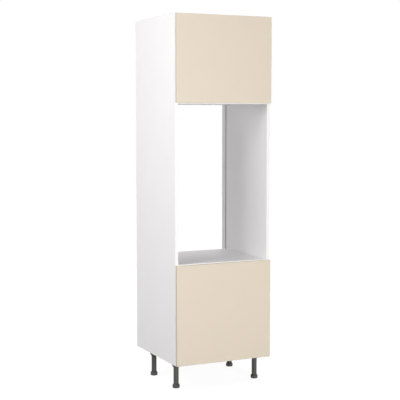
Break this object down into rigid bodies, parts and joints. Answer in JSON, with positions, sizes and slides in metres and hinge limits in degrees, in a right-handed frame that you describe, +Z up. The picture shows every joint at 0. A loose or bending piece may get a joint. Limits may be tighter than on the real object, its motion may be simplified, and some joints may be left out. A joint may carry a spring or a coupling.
{
  "type": "tall oven housing unit",
  "caption": "Tall white kitchen carcass on adjustable legs, with an open oven bay between two plain cream doors on concealed hinges.",
  "frame": {"origin": "on the floor under the middle of the unit's width and depth", "axes": "+X to the right seen from the front, +Y to the rear (doors face -Y), +Z up"},
  "size_m": [0.6, 0.59, 2.12],
  "materials": {
    "carcass_board": "white melamine-faced chipboard, satin",
    "carcass_edging": "white ABS edging strip, satin",
    "door_board": "cream foil-faced board, silky matt",
    "door_edging": "cream ABS edging strip, silky matt",
    "clear_pads": "clear soft pads, slightly cloudy",
    "zinc": "die-cast and sheet zinc, dull",
    "beech": "fluted beech dowel",
    "black_plastic": "dark grey moulded plastic, fine texture",
    "nickel_steel": "nickel-plated pressed steel, bright",
    "plated_screws": "zinc-plated steel screws and pins"
  },
  "bodies": {
    "carcass": {"left_side_panel": "carcass_board", "right_side_panel": "carcass_board", "top_panel": "carcass_board", "bottom_panel": "carcass_board", "lower_oven_shelf": "carcass_board", "upper_oven_shelf": "carcass_board", "lower_back_panel": "carcass_board", "upper_back_panel": "carcass_board", "lower_loose_shelf": "carcass_board", "upper_loose_shelf": "carcass_board", "carcass_edging": "carcass_edging", "shelf_pins": "nickel_steel", "cam_locks": "zinc", "cam_bolts": "nickel_steel", "wood_dowels": "beech", "back_panel_screws": "plated_screws", "wall_brackets": "zinc", "wall_bracket_screws": "plated_screws", "hinge_arms": "nickel_steel", "hinge_arm_pins": "plated_screws", "hinge_arm_screws": "plated_screws", "hinge_mounting_plates": "nickel_steel", "mounting_plate_screws": "plated_screws", "front_left_leg_socket": "black_plastic", "front_right_leg_socket": "black_plastic", "rear_left_leg_socket": "black_plastic", "rear_right_leg_socket": "black_plastic", "front_left_leg_tube": "black_plastic", "front_right_leg_tube": "black_plastic", "rear_left_leg_tube": "black_plastic", "rear_right_leg_tube": "black_plastic", "leg_screws": "plated_screws"},
    "lower_levers": {"lower_hinge_levers": "nickel_steel"},
    "upper_levers": {"upper_hinge_levers": "nickel_steel"},
    "lower_door": {"lower_door": "door_board", "lower_door_edging": "door_edging", "lower_door_bumpers": "clear_pads", "lower_hinge_cups": "nickel_steel", "lower_cup_screws": "plated_screws", "lower_cup_pins": "plated_screws"},
    "upper_door": {"upper_door": "door_board", "upper_door_edging": "door_edging", "upper_door_bumpers": "clear_pads", "upper_hinge_cups": "nickel_steel", "upper_cup_screws": "plated_screws", "upper_cup_pins": "plated_screws"},
    "front_left_foot": {"front_left_foot": "black_plastic"},
    "front_right_foot": {"front_right_foot": "black_plastic"},
    "rear_left_foot": {"rear_left_foot": "black_plastic"},
    "rear_right_foot": {"rear_right_foot": "black_plastic"}
  },
  "joints": [
    {"name": "lower_door_swing", "type": "hinge", "parent": "lower_levers", "child": "lower_door", "pos_m": [0.2888, -0.2853, 0], "axis": [0, 0, 1], "range_deg": [0, 118]},
    {"name": "lower_lever_swing", "type": "hinge", "parent": "carcass", "child": "lower_levers", "pos_m": [0.257, -0.263, 0], "axis": [0, 0, 1], "range_deg": [-15, 0]},
    {"name": "upper_door_swing", "type": "hinge", "parent": "upper_levers", "child": "upper_door", "pos_m": [0.2888, -0.2853, 0], "axis": [0, 0, 1], "range_deg": [0, 118]},
    {"name": "upper_lever_swing", "type": "hinge", "parent": "carcass", "child": "upper_levers", "pos_m": [0.257, -0.263, 0], "axis": [0, 0, 1], "range_deg": [-15, 0]},
    {"name": "front_left_foot_turn", "type": "hinge", "parent": "carcass", "child": "front_left_foot", "pos_m": [-0.255, -0.183, 0], "axis": [0, 0, -1], "range_deg": [0, 4500]},
    {"name": "front_right_foot_turn", "type": "hinge", "parent": "carcass", "child": "front_right_foot", "pos_m": [0.255, -0.183, 0], "axis": [0, 0, -1], "range_deg": [0, 4500]},
    {"name": "rear_left_foot_turn", "type": "hinge", "parent": "carcass", "child": "rear_left_foot", "pos_m": [-0.255, 0.1384, 0], "axis": [0, 0, -1], "range_deg": [0, 4500]},
    {"name": "rear_right_foot_turn", "type": "hinge", "parent": "carcass", "child": "rear_right_foot", "pos_m": [0.255, 0.1384, 0], "axis": [0, 0, -1], "range_deg": [0, 4500]}
  ],
  "couplings": [
    {"joint": "lower_lever_swing", "follows": "lower_door_swing", "ratio": -0.125},
    {"joint": "upper_lever_swing", "follows": "upper_door_swing", "ratio": -0.125}
  ]
}
